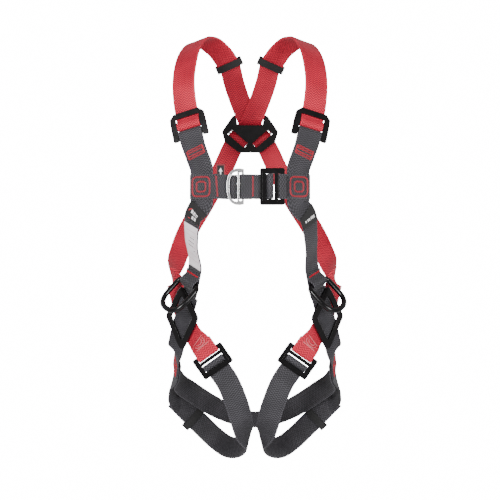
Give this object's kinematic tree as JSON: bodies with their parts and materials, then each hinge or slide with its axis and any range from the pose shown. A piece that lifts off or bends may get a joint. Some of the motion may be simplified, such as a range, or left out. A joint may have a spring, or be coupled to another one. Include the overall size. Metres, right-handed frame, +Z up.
{
  "type": "full body safety harness",
  "caption": "Full-body fall-arrest harness in its worn shape: webbing straps, pass-through buckles, slider adjusters, hip frames, dorsal plate and attachment rings.",
  "frame": {"origin": "middle of the wearer's waist, inside the harness", "axes": "+Z up along the wearer, -Y straight ahead of the wearer, +X to the wearer's left"},
  "size_m": [0.3742, 0.327, 0.8746],
  "materials": {
    "red_webbing": "woven polyester with a fine ribbed weave",
    "grey_webbing": "woven polyester, dark grey",
    "black_elastic": "black woven elastic and tag cloth",
    "label_cloth": "printed label cloth",
    "black_coated_steel": "glossy black coating",
    "black_plastic": "moulded black plastic",
    "bright_steel": "polished steel"
  },
  "bodies": {
    "harness": {"attachment_tag": "black_elastic", "chest_buckle_frame": "black_coated_steel", "chest_buckle_insert": "black_coated_steel", "chest_strap_left": "grey_webbing", "chest_strap_middle": "grey_webbing", "chest_strap_right": "grey_webbing", "dorsal_plate": "black_plastic", "front_strap_left": "grey_webbing", "front_strap_right": "grey_webbing", "hip_frame_left": "black_plastic", "hip_frame_right": "black_plastic", "inspection_label": "label_cloth", "junction_backing_left": "grey_webbing", "junction_backing_right": "grey_webbing", "leg_buckle_left_frame": "black_coated_steel", "leg_buckle_left_insert": "black_coated_steel", "leg_buckle_right_frame": "black_coated_steel", "leg_buckle_right_insert": "black_coated_steel", "leg_strap_left": "grey_webbing", "leg_strap_right": "grey_webbing", "main_strap_left": "red_webbing", "main_strap_right": "red_webbing", "maker_tag": "black_elastic", "ring_tunnel_left": "grey_webbing", "ring_tunnel_right": "grey_webbing", "seat_strap": "grey_webbing", "shoulder_adjuster_left": "black_coated_steel", "shoulder_adjuster_right": "black_coated_steel", "size_tag": "black_elastic"},
    "dorsal_ring_body": {"dorsal_ring": "bright_steel"},
    "sternal_ring_body": {"sternal_ring": "bright_steel"},
    "side_ring_left_body": {"side_ring_left": "black_coated_steel"},
    "side_ring_right_body": {"side_ring_right": "black_coated_steel"},
    "shoulder_keeper_left_body": {"shoulder_keeper_left": "black_elastic"},
    "shoulder_keeper_right_body": {"shoulder_keeper_right": "black_elastic"},
    "leg_keeper_left_body": {"leg_keeper_left": "black_elastic"},
    "leg_keeper_right_body": {"leg_keeper_right": "black_elastic"}
  },
  "joints": [
    {"name": "dorsal_ring_swing", "type": "hinge", "parent": "harness", "child": "dorsal_ring_body", "pos_m": [0, 0.1309, 0.267], "axis": [1, 0, 0], "range_deg": [0, 95]},
    {"name": "sternal_ring_swing", "type": "hinge", "parent": "harness", "child": "sternal_ring_body", "pos_m": [-0.0128, -0.1273, 0.115], "axis": [0, 0, 1], "range_deg": [0, 100]},
    {"name": "side_ring_left_swing", "type": "hinge", "parent": "harness", "child": "side_ring_left_body", "pos_m": [0.13123, -0.04624, -0.064], "axis": [-0.61, -0.7269, -0.3155], "range_deg": [0, 85]},
    {"name": "side_ring_right_swing", "type": "hinge", "parent": "harness", "child": "side_ring_right_body", "pos_m": [-0.11789, -0.04624, -0.064], "axis": [-0.61, 0.7269, 0.3155], "range_deg": [0, 85]},
    {"name": "shoulder_keeper_left_slide", "type": "slide", "parent": "harness", "child": "shoulder_keeper_left_body", "axis": [-0.3325, 0.5242, -0.784], "range_m": [-0.003, 0.003]},
    {"name": "shoulder_keeper_right_slide", "type": "slide", "parent": "harness", "child": "shoulder_keeper_right_body", "axis": [0.3333, 0.5208, -0.7859], "range_m": [-0.003, 0.003]},
    {"name": "leg_keeper_left_slide", "type": "slide", "parent": "harness", "child": "leg_keeper_left_body", "axis": [-0.6756, 0.1629, -0.7191], "range_m": [-0.004, 0.004]},
    {"name": "leg_keeper_right_slide", "type": "slide", "parent": "harness", "child": "leg_keeper_right_body", "axis": [0.6756, 0.1629, -0.7191], "range_m": [-0.004, 0.004]}
  ]
}
